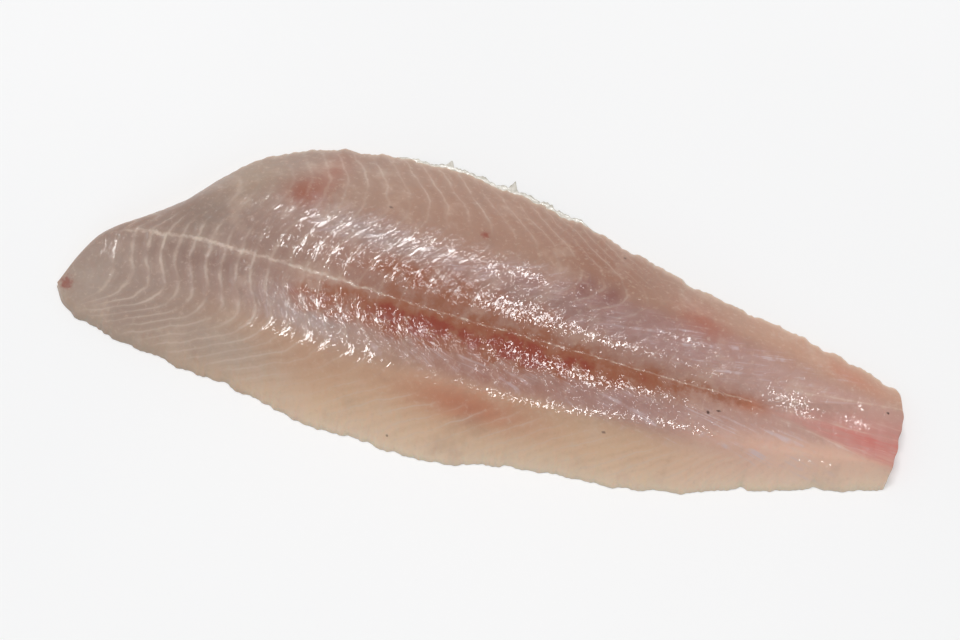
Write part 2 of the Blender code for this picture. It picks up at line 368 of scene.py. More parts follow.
def soft_spots(surface, spots, wander=0.0):
    """Sum of soft-edged ellipses. Each has a centre, its two radii, a tilt and a strength."""
    total = np.zeros_like(surface.x)
    for (centre_x, centre_y), (radius_x, radius_y), tilt, strength in spots:
        dx, dy = surface.seen_x - centre_x + wander, surface.seen_y - centre_y + 0.4 * wander
        turn = math.radians(tilt)
        u = (dx * math.cos(turn) + dy * math.sin(turn)) / radius_x
        v = (dy * math.cos(turn) - dx * math.sin(turn)) / radius_y
        total += strength * np.exp(-(u * u + v * v))
    return np.clip(total, 0.0, 1.3)


# Colours of the flesh that change slowly over it
BACK_MARGIN = colour(170, 137, 120)
BELLY_MARGIN = colour(217, 181, 150)
CROWN = colour(163, 125, 111)
HEAD_GREY = colour(159, 136, 125)
# The violet tint is partly the flesh's own colour under the silvery tissue and partly painted
# sheen, light reflected off the wet film.
LAVENDER_AND_SHEEN = colour(160, 122, 115)
BELLY_TAIL = colour(221, 180, 160)
BACK_TAIL = colour(190, 149, 128)
# Painted light: the pale cream at the thin outline stands in for light shining through the thin
# edge.
THIN_EDGE_GLOW = colour(236, 214, 190)
TAIL_CROWN = colour(184, 146, 134)

# Patches: a colour, and the soft spot that it fills
PATCHES = [
    (colour(138, 110, 100), ((0.046, -0.0085), (0.026, 0.0060), -3, 0.75)),
    (colour(146, 118, 108), ((0.060, 0.0030), (0.020, 0.0060), 0, 0.50)),
    (colour(142, 123, 111), ((0.040, 0.0050), (0.013, 0.0080), 40, 0.65)),
    (colour(174, 157, 145), ((0.010, -0.0270), (0.014, 0.0120), 0, 0.70)),
    (colour(168, 147, 128), ((0.050, 0.0240), (0.012, 0.0090), 30, 0.60)),
    (colour(190, 119, 90), ((0.140, -0.0322), (0.022, 0.0060), 0, 0.85)),
    (colour(182, 134, 112), ((0.088, -0.0330), (0.020, 0.0090), 0, 0.35)),
    (colour(178, 162, 152), ((0.060, -0.0360), (0.022, 0.0080), -8, 0.60)),
    # Painted sheen: these two grey-violet patches are the bluish haze of reflected light round the
    # glints, on the belly and on the back.
    (colour(164, 148, 144), ((0.084, -0.0175), (0.018, 0.0060), -10, 0.65)),
    (colour(158, 140, 136), ((0.094, 0.0145), (0.024, 0.0045), -4, 0.65)),
    (colour(152, 108, 90), ((0.166, 0.0270), (0.024, 0.0090), -15, 0.85)),
    (colour(166, 128, 111), ((0.128, 0.0290), (0.022, 0.0110), -5, 0.60)),
    (colour(136, 90, 84), ((0.1640, 0.0165), (0.0044, 0.0040), 50, 0.85)),
    (colour(136, 90, 84), ((0.1725, 0.0158), (0.0042, 0.0038), 50, 0.80)),
    (colour(194, 132, 110), ((0.2540, 0.0115), (0.0100, 0.0030), -12, 0.70)),
    (colour(152, 90, 73), ((0.0690, 0.0225), (0.0066, 0.0052), 20, 0.90)),
    (colour(166, 112, 96), ((0.0745, 0.0310), (0.0050, 0.0100), -12, 0.60)),
    (colour(170, 108, 92), ((0.2030, 0.0160), (0.0100, 0.0052), -20, 0.80)),
    (colour(178, 106, 72), ((0.2230, -0.0060), (0.0060, 0.0026), 0, 0.95)),
    (colour(138, 108, 98), ((0.1500, 0.0075), (0.0220, 0.0045), 0, 0.60)),
    (colour(158, 108, 94), ((0.1450, -0.0205), (0.0220, 0.0035), 0, 0.80)),
    (colour(198, 156, 144), ((0.2560, 0.0022), (0.0160, 0.0048), 0, 0.75)),
    (colour(172, 138, 132), ((0.2000, 0.0050), (0.0200, 0.0050), 5, 0.50)),
    (colour(176, 146, 140), ((0.2300, -0.0020), (0.0120, 0.0050), 0, 0.50)),
]


def lavender_and_sheen_share(surface):
    """Where the flesh is faintly violet under the silvery tissue; the tint is partly painted
    sheen.
    """
    x, distance, side = surface.x, surface.distance, surface.side
    back = window(distance, 0.005, 0.010, 0.017, 0.024) * window(x, 0.110, 0.150, 0.225, 0.250)
    belly = window(distance, 0.006, 0.011, 0.015, 0.021) * window(x, 0.140, 0.180, 0.230, 0.255)
    return by_side(side, back, 0.8 * belly)


def mixed(base, share, tint):
    """The colours of base with this share of a tint laid over them."""
    return base + share[..., None] * (np.array(tint[:3]) - base)


def flesh_tint(surface):
    """The flesh's colour at each point, before the lines and the mottling."""
    x, y, across, side = surface.x, surface.y, surface.across, surface.side
    tint = np.ones((*x.shape, 3)) * BACK_MARGIN[:3]
    tint = mixed(tint, by_side(side, 0.0, ramp(across, 0.30, 0.85)), BELLY_MARGIN)
    tint = mixed(tint, 1 - ramp(across, 0.25, 0.60), CROWN)
    tint = mixed(tint, lavender_and_sheen_share(surface), LAVENDER_AND_SHEEN)
    tail = ramp(x, 0.185, 0.240)
    tint = mixed(tint, tail * (1 - ramp(across, 0.35, 0.75)), TAIL_CROWN)
    tint = mixed(tint, by_side(side, tail * ramp(across, 0.35, 0.75), 0.0), BACK_TAIL)
    tint = mixed(tint, by_side(side, 0.0, tail * ramp(across, 0.25, 0.60)), BELLY_TAIL)
    tint = mixed(tint, 1 - ramp(x - 0.3 * y, 0.030, 0.105), HEAD_GREY)
    for patch, spot in PATCHES:
        tint = mixed(tint, soft_spots(surface, [spot]), patch)
    # Painted light along the outline: paler where the flesh thins out, as if light shone through
    # it, widest on the belly.
    inward = (1 - across) * half_width(x, side)
    belly_edge_glow = 0.3 + 0.6 * ramp(x, 0.050, 0.110)
    edge = np.exp(-inward / by_side(side, 0.0012, 0.0036)) * by_side(side, 0.5, belly_edge_glow)
    return mixed(tint, edge, THIN_EDGE_GLOW)


def silver_and_sheen_share(surface):
    """Where the silvery connective tissue shows, with a partly painted sheen: along both
    shoulders, and towards the tail.
    """
    x, distance, side = surface.x, surface.distance, surface.side
    back = window(distance, 0.010, 0.016, 0.022, 0.028) * window(x, 0.055, 0.085, 0.150, 0.175)
    tail = window(distance, 0.003, 0.008, 0.016, 0.021) * window(x, 0.145, 0.170, 0.235, 0.262)
    belly = window(distance, 0.005, 0.010, 0.017, 0.022) * window(x, 0.058, 0.080, 0.235, 0.262)
    return by_side(side, np.maximum(back, tail), belly)


# Red muscle: soft spots, strongest in the middle of the fillet, just below the seam
RED_SPOTS = [
    ((0.114, -0.0104), (0.021, 0.0056), -2, 0.95),
    ((0.110, -0.0105), (0.007, 0.0036), -10, 0.40),
    ((0.147, -0.0102), (0.024, 0.0056), -1, 0.90),
    ((0.150, -0.0115), (0.009, 0.0036), 0, 0.38),
    ((0.176, -0.0080), (0.024, 0.0046), 1, 0.60),
    ((0.206, -0.0062), (0.020, 0.0032), 1, 0.24),
    ((0.112, 0.0045), (0.022, 0.0062), 0, 0.50),
    ((0.150, 0.0010), (0.022, 0.0070), 0, 0.28),
    ((0.086, -0.0120), (0.014, 0.0060), -3, 0.40),
    ((0.0685, 0.0225), (0.0040, 0.0034), 20, 0.16),
    ((0.2190, -0.0060), (0.0090, 0.0028), 0, 0.16),
]


def red_share(surface):
    """Red and brown muscle beside the seam, and bruised patches."""
    wander = layered_noise(surface.x, surface.y, [(0.009, 0.003)], seed=3.1)
    return soft_spots(surface, RED_SPOTS, wander)


def pink_share(surface):
    """The wedge of pink muscle at the tail, palest above the seam."""
    x, distance = surface.x, surface.distance
    edge = hollow_width(x) * by_side(surface.side, 0.80, 1.05)
    inside = 1 - ramp(distance, by_side(surface.side, 0.10, 0.70) * edge, 1.15 * edge)
    return inside * ramp(x, TAIL_HOLLOW_START, LENGTH - 0.008) * by_side(surface.side, 0.7, 1.0)


def steady_random(number, seed):
    """A random number from 0 to 1 for each whole number, always the same."""
    return np.modf(np.abs(np.sin(number * 12.9898 + seed * 78.233)) * 43758.5453)[0]


def line_share(surface):
    """How clearly the pale tissue between the bands shows. It differs from line to line."""
    x, across, side, distance = surface.x, surface.across, surface.side, surface.distance
    bars = (1 - ramp(x, 0.060, 0.085)) * (1 - ramp(distance, 0.010, 0.018)) * ramp(x, 0.010, 0.022)
    bars = bars * by_side(side, 0.75 * (1 - ramp(distance, 0.005, 0.010)), 0.90)
    back_margin = window(across, 0.54, 0.68, 0.93, 1.0) * window(x, 0.050, 0.075, 0.165, 0.195)
    belly_margin = window(across, 0.35, 0.50, 0.92, 1.0)
    belly_head = belly_margin * window(x, 0.008, 0.020, 0.070, 0.100)
    belly_outer = window(across, 0.60, 0.74, 0.92, 1.0)
    belly_rest = 0.60 * belly_outer * window(x, 0.080, 0.110, 0.225, 0.250)
    inner = 0.30 * window(x, 0.050, 0.070, 0.100, 0.130)
    nape = window(distance, 0.012, 0.018, 0.024, 0.030) * window(x, 0.030, 0.040, 0.060, 0.075)
    cells = window(distance, 0.014, 0.017, 0.024, 0.028) * window(x, 0.150, 0.160, 0.178, 0.188)
    back = np.max([0.52 * back_margin, 0.35 * nape, 0.5 * cells], axis=0)
    outer = by_side(side, back, np.maximum(0.85 * belly_head, belly_rest))
    shown = np.clip(np.maximum(np.maximum(bars, outer), inner), 0.0, 1.0)
    own = 0.50 + 0.50 * steady_random(np.round(surface.phase) + 100 * side, 1.0)
    along_line = 0.80 + 1.3 * noise_at(np.round(surface.phase) * 0.02, surface.y, 0.005, 9.1)
    return shown * own * np.clip(along_line, 0.15, 1.0)


# Lines that run lengthwise over the tail: creases at the edges of the pink wedge and in its middle
CREASES = [
    [(0.222, -0.0080), (0.245, -0.0100), (0.270, -0.0145)],
    [(0.225, 0.0000), (0.245, 0.0030), (0.270, 0.0065)],
    [(0.225, -0.0050), (0.253, -0.0045), (0.270, -0.0035)],
]


def crease_distance(surface):
    """Distance in millimetres from the nearest lengthwise crease."""
    apart = [np.abs(surface.y - smooth_curve(crease, surface.x)) for crease in CREASES]
    early = 0.010 * (1 - ramp(surface.x, 0.222, 0.234))
    return 1000 * (np.min(apart, axis=0) + early)


# Where water stands in small pools that glint: soft spots along the crown and its shoulders
POOL_SPOTS = [
    ((0.078, 0.0150), (0.032, 0.0052), 0, 0.60),
    ((0.120, 0.0156), (0.022, 0.0040), 0, 0.62),
    ((0.145, 0.0148), (0.014, 0.0028), 0, 0.66),
    ((0.079, 0.0040), (0.022, 0.0062), 0, 0.65),
    ((0.118, 0.0050), (0.022, 0.0060), 0, 0.52),
    ((0.148, 0.0030), (0.018, 0.0050), 0, 0.78),
    ((0.176, 0.0015), (0.018, 0.0026), 0, 0.62),
    ((0.204, 0.0010), (0.018, 0.0014), 0, 0.50),
    ((0.086, -0.0128), (0.024, 0.0074), 0, 0.61),
    ((0.080, -0.0248), (0.019, 0.0042), 0, 0.70),
    ((0.104, -0.0250), (0.012, 0.0034), 0, 0.62),
    ((0.118, -0.0120), (0.016, 0.0060), 0, 0.40),
    ((0.148, -0.0108), (0.018, 0.0052), 0, 0.59),
    ((0.174, -0.0125), (0.016, 0.0034), 0, 0.68),
    ((0.196, -0.0112), (0.013, 0.0016), 0, 0.55),
    ((0.141, -0.0254), (0.024, 0.0026), 0, 0.61),
    ((0.170, -0.0236), (0.016, 0.0022), 5, 0.66),
    ((0.200, -0.0196), (0.024, 0.0022), 4, 0.68),
    ((0.200, 0.0085), (0.018, 0.0022), 0, 0.66),
    ((0.115, -0.0420), (0.022, 0.0060), 0, 0.40),
    ((0.058, -0.0420), (0.022, 0.0030), -6, 0.36),
    ((0.235, -0.0025), (0.016, 0.0062), 0, 0.74),
    ((0.2565, -0.0030), (0.0060, 0.0020), 0, 0.70),
    ((0.2560, 0.0030), (0.0022, 0.0034), 0, 0.70),
    ((0.2480, -0.0185), (0.0160, 0.0020), 6, 0.62),
    ((0.013, -0.0150), (0.0035, 0.0070), 15, 0.75),
]
DRAINED = 0.22
WET_ROUND_POOLS = 0.50
DENSEST_POOLS = 0.70
SEAM_DRY_REACH = 0.0012


def pool_share(surface):
    """How much of the surface is under small level pools. Beside the seam there are none."""
    wander = layered_noise(surface.x, surface.y, [(0.010, 0.002)], seed=5.9)
    pools = np.clip(soft_spots(surface, POOL_SPOTS, wander), 0.0, DENSEST_POOLS)
    beside_seam = np.exp(-((surface.distance / SEAM_DRY_REACH) ** 2))
    return pools * (1 - 0.9 * beside_seam * (1 - ramp(surface.x, 0.145, 0.165)))


def coat_share(surface):
    """How wet the flesh is: water stands on the crown and has drained from the margins."""
    return DRAINED + (1 - DRAINED) * np.clip(WET_ROUND_POOLS * pool_share(surface), 0.0, 1.0)


def ripple_share(surface):
    """How steep the wrinkles of the wet film are."""
    across = surface.across
    crown = 1 - ramp(across, 0.55, 0.85)
    head = 1 - ramp(surface.x, 0.075, 0.120)
    belly = by_side(surface.side, 0.0, 0.4 * ramp(across, 0.25, 0.45))
    return 0.30 + crown * (0.70 + 0.50 * head + belly)


def stroke_share(surface):
    """Where the glints are strokes along the bands, and not specks: the head half of the crown."""
    return 1 - ramp(surface.x, 0.110, 0.145)


SHARES = {
    "tint": flesh_tint,
    "red": red_share,
    "silver_and_sheen": silver_and_sheen_share,
    "pink": pink_share,
    "line": line_share,
    "crease": crease_distance,
    "pools": pool_share,
    "wetness": coat_share,
    "ripple": ripple_share,
    "stroke": stroke_share,
    "along": lambda surface: surface.x,
    "phase": lambda surface: surface.phase,
    "strand": lambda surface: surface.strand,
    "seen": lambda surface: np.stack([surface.seen_x, surface.seen_y, 0 * surface.x], axis=-1),
    "off_seam": lambda surface: 1000 * surface.side * surface.distance,
}


def edge_normals(surface, column_index):
    """Unit vectors out of the outline, in plan, along one edge of the top."""
    x, y = surface.x[:, column_index], surface.y[:, column_index]
    smooth = np.ones(9) / 9
    dx = np.gradient(np.convolve(np.pad(x, 4, mode="edge"), smooth, mode="valid"))
    dy = np.gradient(np.convolve(np.pad(y, 4, mode="edge"), smooth, mode="valid"))
    side = surface.side[:, column_index]
    size = np.hypot(dx, dy)
    return -side * dy / size, side * dx / size


def rim_rows(surface, column_index):
    """Rows of points round the edge, widening from just under its top to just above the table."""
    out_x, out_y = edge_normals(surface, column_index)
    x, y, z = (values[:, column_index] for values in (surface.x, surface.y, surface.z))
    spread = RIM_SPREAD * np.minimum(z - EDGE_LIFT, 0.003)
    rows = []
    for step in range(1, RIM_ROWS + 1):
        share = step / RIM_ROWS
        out = spread * share
        rows.append((x + out * out_x, y + out * out_y, z + (EDGE_LIFT - z) * share))
    return rows


def underside_row(surface, share, side):
    """One row of points below, at this share of the way from the seam to the edge."""
    x = surface.x[:, 0]
    sides = np.full_like(x, side)
    lift = EDGE_LIFT * max(0.0, (share - 0.9) / 0.1)
    return x, place_across(x, np.full_like(x, share), sides), np.full_like(x, lift)


def whole_rings(surface):
    """Adds rim and underside to the top rows. Returns the points and each row's own top row."""
    last = surface.top_count - 1
    middle = TOP_ROWS - 1
    rows = [(surface.x[:, i], surface.y[:, i], surface.z[:, i]) for i in range(surface.top_count)]
    source = list(range(surface.top_count))
    rows += rim_rows(surface, last)
    source += [last] * RIM_ROWS
    for side, shares in ((1, [1.0] + UNDERSIDE_ROWS + [0.0]), (-1, UNDERSIDE_ROWS[::-1] + [1.0])):
        for share in shares:
            rows.append(underside_row(surface, share, side))
            source.append(middle + side * round(share * middle))
    rows += rim_rows(surface, 0)[::-1]
    source += [0] * RIM_ROWS
    points = np.array([np.stack(row, axis=-1) for row in rows])
    return points.transpose(1, 0, 2), source


def rounded_cut(points):
    """More rings past the last one: a rounded edge, the cut face and loops towards its middle."""
    last = points[-1].copy()
    middle = last.mean(axis=0)
    rings = []
    for angle in (25, 50, 75, 90):
        turn = math.radians(angle)
        ring = last.copy()
        ring[:, 0] += CUT_ROUNDING * math.sin(turn)
        inward = last[:, 1:] - middle[1:]
        size = np.maximum(np.hypot(*inward.T), 1e-6)[:, None]
        ring[:, 1:] -= inward / size * CUT_ROUNDING * (1 - math.cos(turn))
        rings.append(ring)
    outer = rings[-1]
    for loop in range(1, CUT_LOOPS):
        share = 1 - loop / CUT_LOOPS
        ring = outer.copy()
        ring[:, 1:] = middle[1:] + (outer[:, 1:] - middle[1:]) * share
        ring[:, 0] += CUT_DIMPLES * (loop % 2)
        rings.append(ring)
    return rings, middle


def bow_tail(points):
    """The cut tail end stands back at its corners."""
    x, y = points[..., 0], points[..., 1]
    middle = smooth_curve(SEAM, np.full_like(y, LENGTH))
    side = np.sign(y - middle)
    reach = by_side(side, BACK_EDGE[-1][1] - middle, middle - BELLY_EDGE[-1][1])
    across = np.clip(np.abs(y - middle) / reach, 0.0, 1.0)
    bow = by_side(side, BACK_TAIL_BOW, BELLY_TAIL_BOW)
    uneven = layered_noise(y, y * 0, CUT_ROUGHNESS, seed=5.5)
    near = ramp(x, LENGTH - TAIL_STRAIGHTENS, LENGTH)
    points[..., 0] -= bow * across**2 * near + uneven * ramp(x, LENGTH - 0.006, LENGTH)


def store_attribute(mesh, name, values):
    """Keeps one number or one colour for each vertex, for the material to read."""
    if values.ndim == 1:
        layer = mesh.attributes.new(name, "FLOAT", "POINT")
        layer.data.foreach_set("value", values.astype(np.float32))
    else:
        layer = mesh.attributes.new(name, "FLOAT_COLOR", "POINT")
        opaque = np.concatenate([values, np.ones((len(values), 1))], axis=1)
        layer.data.foreach_set("color", opaque.astype(np.float32).ravel())


def store_shares(mesh, surface, source, cut):
    """Keeps every share on the mesh. The cut face has those of the flesh straight above it."""
    above = np.searchsorted(surface.y[-1], cut[..., 1])
    above = np.clip(above, 0, surface.top_count - 1)
    for name, share in SHARES.items():
        grid = share(surface)
        rows = np.concatenate([grid[:, source], grid[-1][above]])
        ends = np.stack([grid[0, 0], grid[-1, TOP_ROWS - 1]])
        store_attribute(mesh, name, np.concatenate([rows.reshape(-1, *grid.shape[2:]), ends]))


def grid_faces(rings, ring_size):
    """Quads between neighbouring rings, each a closed loop of points."""
    ring = np.arange(rings - 1)[:, None] * ring_size
    here = np.arange(ring_size)[None, :]
    there = (here + 1) % ring_size
    return np.stack(
        [ring + here, ring + ring_size + here, ring + ring_size + there, ring + there], axis=-1
    ).reshape(-1, 4)


def frame_shift():
    """What to add to the fillet's own coordinates to get the frame's."""
    low, _ = cad_bounds
    x = np.linspace(0.0, LENGTH, 4000)
    ones = np.ones_like(x)
    highest = place_across(x, ones, ones).max()
    lowest = place_across(x, ones, -ones).min()
    return np.array([low[0], -(highest + lowest) / 2, 0.0])


def make_fillet(shift):
    """The fine mesh of the whole fillet, with the shares its material reads."""
    surface = Surface()
    body, source = whole_rings(surface)
    cut, cut_middle = rounded_cut(body)
    points = np.concatenate([body, np.array(cut)])
    bow_tail(points)
    rings, ring_size = points.shape[:2]
    tip = np.array([[0.0, BACK_EDGE[0][1], EDGE_LIFT + THIN_EDGE / 2]])
    cut_middle[0] = points[-1][:, 0].mean()
    everything = np.concatenate([points.reshape(-1, 3), tip, cut_middle[None, :]])
    faces = grid_faces(rings, ring_size).tolist()
    tip_index, cut_index = len(everything) - 2, len(everything) - 1
    last = (rings - 1) * ring_size
    for i in range(ring_size):
        j = (i + 1) % ring_size
        faces.append((tip_index, i, j))
        faces.append((cut_index, last + j, last + i))
    mesh = bpy.data.meshes.new("fillet_flesh")
    mesh.from_pydata((everything + shift).tolist(), [], faces)
    face_outwards(mesh)
    store_shares(mesh, surface, source, np.array(cut))
    mesh.shade_smooth()
    mesh.set_sharp_from_angle(angle=math.radians(60))
    fillet = bpy.data.objects.new("fillet_flesh", mesh)
    bpy.context.scene.collection.objects.link(fillet)
    return fillet


def face_outwards(mesh):
    """Turns all faces outwards."""
    bm = bmesh.new()
    bm.from_mesh(mesh)
    bmesh.ops.recalc_face_normals(bm, faces=bm.faces)
    bm.to_mesh(mesh)
    bm.free()


# Film on the back edge: a ragged strip of loose, see-through tissue with two tags
FILM_ENDS = (0.080, 0.108, 0.150, 0.166)
FILM_WIDTH = 0.0015
FILM_TAGS = [(0.1087, 0.0026, 0.0017), (0.1312, 0.0042, 0.0020)]
FILM_THICKNESS = 0.00022
FILM_HEIGHT = 0.0011
FILM_TUCK = 0.0012
FILM_STEP = 0.0003
FILM_RISE = 0.25
FILM_RISE_START = 0.0010
FILM_RUFFLES = [(0.002, 0.00015)]
FILM_TINTS = (colour(196, 190, 176), colour(232, 228, 218))


def film_reach(x):
    """How far the film stands out from the edge of the flesh."""
    ragged = 1 + 0.5 * noise_at(x, x * 0, 0.0028, 2.2) + 0.4 * noise_at(x, x * 0, 0.0009, 3.3)
    reach = FILM_WIDTH * ragged * window(x, *FILM_ENDS)
    for place, tall, half in FILM_TAGS:
        lean = (x - place) / half
        reach = reach + tall * np.clip(1 - np.abs(lean + 0.25 * np.sign(lean)), 0.0, 1.0)
    return np.maximum(reach, 0.0)


def make_film(shift):
    """A thin closed strip of loose tissue along part of the back edge."""
    x = np.arange(FILM_ENDS[0], FILM_ENDS[3], FILM_STEP)
    ones = np.ones_like(x)
    edge = place_across(x, ones, ones)
    reach = film_reach(x)
    rows = []
    for share in (-0.5, 0.0, 0.35, 0.7, 1.0):
        out = reach * max(share, 0.0) + FILM_TUCK * min(share, 0.0)
        thick = FILM_THICKNESS * (1 - 0.7 * max(share, 0.0))
        height = FILM_HEIGHT + FILM_RISE * np.maximum(out - FILM_RISE_START, 0.0)
        height = height + layered_noise(x, ones * share, FILM_RUFFLES, seed=7.7)
        rows.append((x, edge + out, height, thick * ones))
    upper = [np.stack([x, y, z + t / 2], axis=-1) for x, y, z, t in rows]
    lower = [np.stack([x, y, z - t / 2], axis=-1) for x, y, z, t in rows[::-1]]
    points = np.array(upper + lower).transpose(1, 0, 2)
    rings, ring_size = points.shape[:2]
    faces = grid_faces(rings, ring_size).tolist()
    faces.append(list(range(ring_size)))
    faces.append([(rings - 1) * ring_size + i for i in range(ring_size)])
    mesh = bpy.data.meshes.new("edge_film")
    mesh.from_pydata((points.reshape(-1, 3) + shift).tolist(), [], faces)
    face_outwards(mesh)
    mesh.shade_smooth()
    film = bpy.data.objects.new("edge_film", mesh)
    bpy.context.scene.collection.objects.link(film)
    return film


class Graph:
    """Short calls for building a material's nodes."""

    def __init__(self, material):
        material.use_nodes = True
        self.tree = material.node_tree
        self.shader = self.tree.nodes["Principled BSDF"]

    def feed(self, socket, value):
        """Links an output to a socket, or sets the socket's value."""
        if isinstance(value, bpy.types.NodeSocket):
            self.tree.links.new(value, socket)
        else:
            socket.default_value = value

    def node(self, kind, inputs, **settings):
        """A new node with its settings and its inputs, which are given by place or by name."""
        node = self.tree.nodes.new(kind)
        for name, value in settings.items():
            setattr(node, name, value)
        for key, value in inputs.items():
            self.feed(node.inputs[key], value)
        return node

    def math(self, operation, a, b=0.0):
        return self.node("ShaderNodeMath", {0: a, 1: b}, operation=operation).outputs[0]

    def vector_math(self, operation, inputs):
        return self.node("ShaderNodeVectorMath", inputs, operation=operation)

    def product(self, first, *others):
        """All of these multiplied together."""
        for other in others:
            first = self.math("MULTIPLY", first, other)
        return first

    def share(self, name):
        """One of the numbers kept on the mesh."""
        return self.node("ShaderNodeAttribute", {}, attribute_name=name).outputs["Fac"]

    def place(self):
        """The point's coordinates on the object, in metres."""
        return self.node("ShaderNodeTexCoord", {}).outputs["Object"]

    def place_y(self):
        """The point's place across the fillet, in metres."""
        return self.node("ShaderNodeSeparateXYZ", {0: self.place()}).outputs[1]

    def stretched(self, x, x_scale, y, y_scale):
        """Coordinates for drawn-out noise, with a scale of their own in each direction."""
        inputs = {0: self.product(x, x_scale), 1: self.product(y, y_scale)}
        return self.node("ShaderNodeCombineXYZ", inputs).outputs[0]

    def noise(self, vector, scale, detail=2.0, roughness=0.5, distortion=0.0):
        inputs = {
            "Vector": vector, "Scale": scale, "Detail": detail,
            "Roughness": roughness, "Distortion": distortion,
        }
        return self.node("ShaderNodeTexNoise", inputs).outputs["Fac"]

    def wobble(self, size, scale, detail=2.0, roughness=0.5):
        """Noise about zero at the point, of this size."""
        noise = self.noise(self.place(), scale, detail, roughness)
        return self.product(self.math("SUBTRACT", noise, 0.5), size)

    def between(self, value, low, high, bottom=0.0, top=1.0):
        """Takes value from the range low to high smoothly to the range bottom to top."""
        inputs = {0: value, 1: low, 2: high, 3: bottom, 4: top}
        node = self.node("ShaderNodeMapRange", inputs, interpolation_type="SMOOTHSTEP")
        return node.outputs[0]

    def mix(self, factor, a, b):
        node = self.tree.nodes.new("ShaderNodeMix")
        node.data_type = "RGBA"
        self.feed(node.inputs[0], factor)
        self.feed(node.inputs[6], a)
        self.feed(node.inputs[7], b)
        return node.outputs[2]

    def band_of(self, value, rise, full, fall, end):
        """0 where value is outside rise to end, 1 from full to fall, and smooth between."""
        return self.product(
            self.between(value, rise, full), self.between(value, fall, end, 1.0, 0.0)
        )

    def bump(self, height, distance):
        inputs = {"Height": height, "Distance": distance, "Strength": 1.0}
        return self.node("ShaderNodeBump", inputs).outputs[0]


# The wet film's wrinkles: how fine they are, and how high in metres
SPECK_WRINKLES = 430.0
TAIL_WRINKLES = 850.0
WRINKLE_HEIGHT = 0.00054

# Its pools. They lie level where noise plus the pool spots' depth is over the shore, fully so at
# the level. Towards the head they keep to one place in each band.
TAIL_POOLS = 1400.0
POOL_SPOT_DEPTH = 0.38
POOL_SHORE = 0.80
POOL_LEVEL = 0.83
POOL_PHASE = 0.11
POOLS_IN_STEP = 0.055

# Millimetres that the silvery strands come nearer to the seam, per metre along
STRANDS_SPREAD = 180.0

# Colours of the lines, muscle and specks, and of the silvery tissue with its partly painted sheen
SEPTUM = colour(212, 192, 177)
BAND_SHADE = colour(144, 114, 101)
MUSCLE_BROWN = colour(150, 94, 70)
MUSCLE_RED = colour(140, 63, 46)
TAIL_PINK = colour(200, 137, 129)
TAIL_RED = colour(196, 104, 94)
# The silvery tissue's pale colour is partly its own and partly painted sheen of reflected light.
SILVER_AND_SHEEN = colour(206, 188, 190)
PALE_FLECK = colour(214, 190, 172)
SPECK = colour(70, 46, 38)
BLOOD = colour(140, 52, 44)

# Dark specks and blood spots: place, half length, half width, colour and strength
SPECKS = [
    ((0.2110, -0.0125), 0.00055, 0.00050, SPECK, 0.9),
    ((0.2140, -0.0112), 0.00080, 0.00030, SPECK, 0.9),
    ((0.2655, 0.0032), 0.00050, 0.00050, SPECK, 1.0),
    ((0.1820, -0.0280), 0.00060, 0.00040, SPECK, 0.6),
    ((0.1740, 0.0305), 0.00060, 0.00050, SPECK, 0.6),
    ((0.1190, -0.0490), 0.00040, 0.00040, SPECK, 0.6),
    ((0.0970, 0.0252), 0.00080, 0.00040, SPECK, 0.5),
    ((0.1285, 0.0247), 0.00150, 0.00120, BLOOD, 0.6),
    ((0.0040, -0.0300), 0.00230, 0.00250, BLOOD, 0.6),
]


def line_profile(g, off, width, halo=0.0):
    """1 on a line and 0 away from it, with a faint halo three widths wide."""
    size = g.math("ABSOLUTE", off)
    sharp = g.between(size, 0.0, width, 1.0, 0.0)
    return g.math("MAXIMUM", sharp, g.between(size, 0.0, 3 * width, halo, 0.0))


def add_septa(g, base):
    """Pale lines of tissue between the muscle bands, and the bands a little darker beside them."""
    wobble = g.product(g.noise(g.place(), 500.0, 3.0), 0.22)
    shifted = g.math("ADD", g.share("phase"), wobble)
    off = g.math("SUBTRACT", g.math("FRACT", g.math("ADD", shifted, 0.39)), 0.5)
    off = g.product(off, g.between(g.share("along"), 0.055, 0.090, 0.62, 1.0))
    strength = g.share("line")
    middle = g.between(g.math("ABSOLUTE", off), 0.22, 0.45)
    base = g.mix(g.product(middle, strength, 0.14), base, BAND_SHADE)
    line = line_profile(g, off, 0.15, 0.30)
    return g.mix(g.product(line, strength, 0.80), base, SEPTUM)


def add_seam(g, base):
    """The pale seam: a wavy line behind the head that breaks up into short dashes, partly painted
    glints towards the tail.
    """
    along = g.share("along")
    wobble = g.wobble(3.4, 260.0, 3.0, 0.6)
    off = g.math("ADD", g.share("off_seam"), wobble)
    behind_head = g.band_of(along, 0.012, 0.022, 0.088, 0.112)
    uneven = g.between(g.noise(g.place(), 350.0), 0.35, 0.65, 0.35, 0.95)
    thick = g.product(line_profile(g, off, 1.20, 0.2), behind_head, uneven)
    base = g.mix(thick, base, SEPTUM)
    thin_off = g.math("ADD", g.share("off_seam"), g.product(wobble, 0.5))
    thin = g.product(line_profile(g, thin_off, 0.42), g.band_of(along, 0.085, 0.105, 0.220, 0.228))
    # Painted glints, in part: the seam's pale line breaks into dashes that stand in for glints on
    # it towards the tail.
    broken = g.noise(g.stretched(along, 330.0, 0.0, 0.0), 1.0)
    dashes_and_glints = g.between(broken, 0.46, 0.60, g.between(along, 0.175, 0.195, 0.15, 0.50), 1.0)
    clearer = g.between(along, 0.170, 0.195, 0.60, 0.46)
    return g.mix(g.product(thin, dashes_and_glints, clearer), base, PALE_FLECK)


